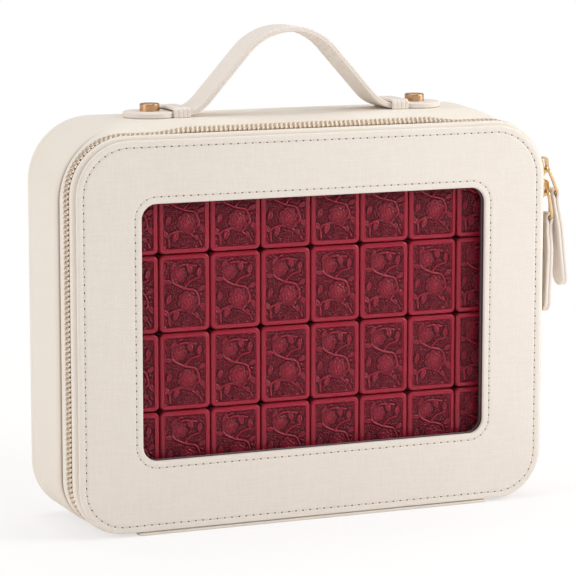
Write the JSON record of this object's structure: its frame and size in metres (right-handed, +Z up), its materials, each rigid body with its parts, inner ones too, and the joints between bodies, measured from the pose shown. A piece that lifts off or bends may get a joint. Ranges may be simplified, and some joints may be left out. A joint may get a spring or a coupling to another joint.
{
  "type": "mahjong tile bag",
  "caption": "Upright leather zip case for mahjong tiles with a clear window, top strap handle on studs, two zip pulls and a lid hinged along its base.",
  "frame": {"origin": "middle of the leather strip that the case stands on, on the table", "axes": "+X to the right seen from the window side, +Y to the back away from the window, +Z up"},
  "size_m": [0.2281, 0.0566, 0.2046],
  "materials": {
    "cream_leather": "matte",
    "strap_leather": "satin",
    "lining_cloth": "matte",
    "grey_board": "matte",
    "clear_sheet": "gloss",
    "zip_tape": "matte",
    "zip_metal": "satin",
    "pale_brass": "polished",
    "copper_brass": "polished",
    "plated_steel": "satin",
    "crimson_tile": "gloss",
    "flocked_foam": "matte"
  },
  "bodies": {
    "case": {"case_gusset": "cream_leather", "back_panel": "cream_leather", "side_board": "grey_board", "back_board": "grey_board", "case_lining": "lining_cloth", "zip_tape_case": "zip_tape", "zip_chain_case": "zip_metal", "hinge_strip_case": "cream_leather", "tile_collar": "flocked_foam", "tiles_front": "crimson_tile", "tiles_middle": "crimson_tile", "tiles_rear": "crimson_tile", "handle_leg_left": "strap_leather", "handle_leg_right": "strap_leather", "handle_tab_left": "strap_leather", "handle_tab_right": "strap_leather", "handle_keepers": "strap_leather", "handle_studs": "copper_brass", "stud_washers": "plated_steel", "stud_screws": "plated_steel"},
    "lid": {"front_panel": "cream_leather", "front_board": "grey_board", "window_pane": "clear_sheet", "lid_lining": "lining_cloth", "window_facing": "lining_cloth", "lid_gusset": "cream_leather", "zip_tape_lid": "zip_tape", "zip_chain_lid": "zip_metal", "hinge_strip_lid": "cream_leather"},
    "handle": {"handle_grip": "strap_leather"},
    "upper_slider": {"upper_slider": "pale_brass"},
    "upper_ring": {"upper_ring": "pale_brass"},
    "upper_pull": {"upper_pull": "strap_leather"},
    "lower_slider": {"lower_slider": "pale_brass"},
    "lower_ring": {"lower_ring": "pale_brass"},
    "lower_pull": {"lower_pull": "strap_leather"}
  },
  "joints": [
    {"name": "lid_hinge", "type": "hinge", "parent": "case", "child": "lid", "pos_m": [0, -0.0201, 0], "axis": [1, 0, 0], "range_deg": [0, 175]},
    {"name": "handle_tilt", "type": "hinge", "parent": "case", "child": "handle", "pos_m": [0, 0.00702, 0.16955], "axis": [1, 0, 0], "range_deg": [-35, 35], "stiffness_Nm_per_rad": 0.05, "deforming": ["handle_leg_left", "handle_leg_right"]},
    {"name": "upper_slider_turn", "type": "hinge", "parent": "case", "child": "upper_slider", "pos_m": [0.082, -0.0201, 0.1398], "axis": [0, -1, 0], "range_deg": [0, 82]},
    {"name": "lower_slider_slide", "type": "slide", "parent": "case", "child": "lower_slider", "axis": [0, 0, -1], "range_m": [0, 0.1063]},
    {"name": "lower_ring_swing", "type": "hinge", "parent": "lower_slider", "child": "lower_ring", "pos_m": [0.10935, -0.0201, 0.1326], "axis": [0, -1, 0], "range_deg": [0, 110]},
    {"name": "lower_pull_swing", "type": "hinge", "parent": "lower_ring", "child": "lower_pull", "pos_m": [0.11135, -0.0201, 0.12127], "axis": [0, -1, 0], "range_deg": [0, 45]},
    {"name": "upper_ring_swing", "type": "hinge", "parent": "upper_slider", "child": "upper_ring", "pos_m": [0.10925, -0.0201, 0.14242], "axis": [0, -1, 0], "range_deg": [0, 110]},
    {"name": "upper_pull_swing", "type": "hinge", "parent": "upper_ring", "child": "upper_pull", "pos_m": [0.11393, -0.0201, 0.13191], "axis": [0, -1, 0], "range_deg": [0, 45]}
  ],
  "couplings": [
    {"joint": "upper_ring_swing", "follows": "lower_ring_swing", "ratio": 1},
    {"joint": "upper_pull_swing", "follows": "lower_pull_swing", "ratio": 1}
  ]
}
